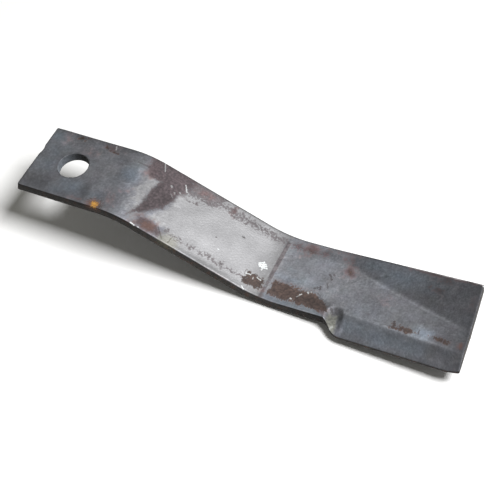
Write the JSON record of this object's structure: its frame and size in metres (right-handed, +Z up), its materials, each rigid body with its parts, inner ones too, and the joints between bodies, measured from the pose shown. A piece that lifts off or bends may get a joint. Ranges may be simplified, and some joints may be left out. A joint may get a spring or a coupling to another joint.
{
  "type": "rotary cutter blade",
  "caption": "Offset cutter blade: flat drilled mount end, two bends, a raised trailing wing and a bevelled forged cutting edge.",
  "frame": {"origin": "bolt hole axis at the top seat face", "axes": "+Z up out of the bolt hole, +X towards the cutting tip, +Y towards the raised trailing edge"},
  "size_m": [0.5885, 0.1192, 0.0958],
  "materials": {
    "blade_steel": "hot-rolled and forged spring steel with dark scale, worn bright on the slope, with brown rust patches"
  },
  "bodies": {
    "root": {"blade": "blade_steel"}
  },
  "joints": []
}
